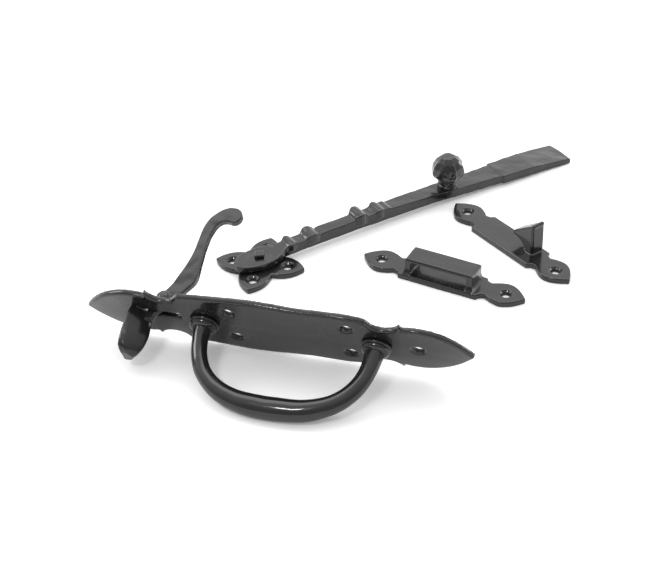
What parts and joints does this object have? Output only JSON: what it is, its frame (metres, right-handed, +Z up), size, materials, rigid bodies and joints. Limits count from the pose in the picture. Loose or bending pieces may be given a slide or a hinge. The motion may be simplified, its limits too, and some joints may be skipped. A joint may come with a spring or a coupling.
{
  "type": "suffolk latch",
  "caption": "Cast thumb latch set with a pull handle, thumb lever, pivoted latch bar, staple and keep for a ledged door",
  "frame": {"origin": "middle of the set's outer box in plan, on the table that the loose units lie on", "axes": "+Z up from the table, +X to the right along the set's longest extent, +Y away from the viewer"},
  "size_m": [0.2866, 0.262, 0.0539],
  "materials": {
    "coated_iron": "satin black powder coat over cast iron"
  },
  "bodies": {
    "fixed_units": {"handle_plate": "coated_iron", "pull_handle": "coated_iron", "lever_pin": "coated_iron", "pivot_plate": "coated_iron", "pivot_rivet": "coated_iron", "staple": "coated_iron", "keep": "coated_iron"},
    "lever": {"thumb_lever": "coated_iron"},
    "bar": {"latch_bar": "coated_iron", "latch_knob": "coated_iron"}
  },
  "joints": [
    {"name": "lever_hinge", "type": "hinge", "parent": "fixed_units", "child": "lever", "pos_m": [-0.10021, -0.06073, 0.02698], "axis": [-0.1165, -0.3821, 0.9168], "range_deg": [0, 20]},
    {"name": "bar_hinge", "type": "hinge", "parent": "fixed_units", "child": "bar", "pos_m": [-0.05432, 0.00645, 0], "axis": [0, 0, 1], "range_deg": [0, 9]}
  ]
}
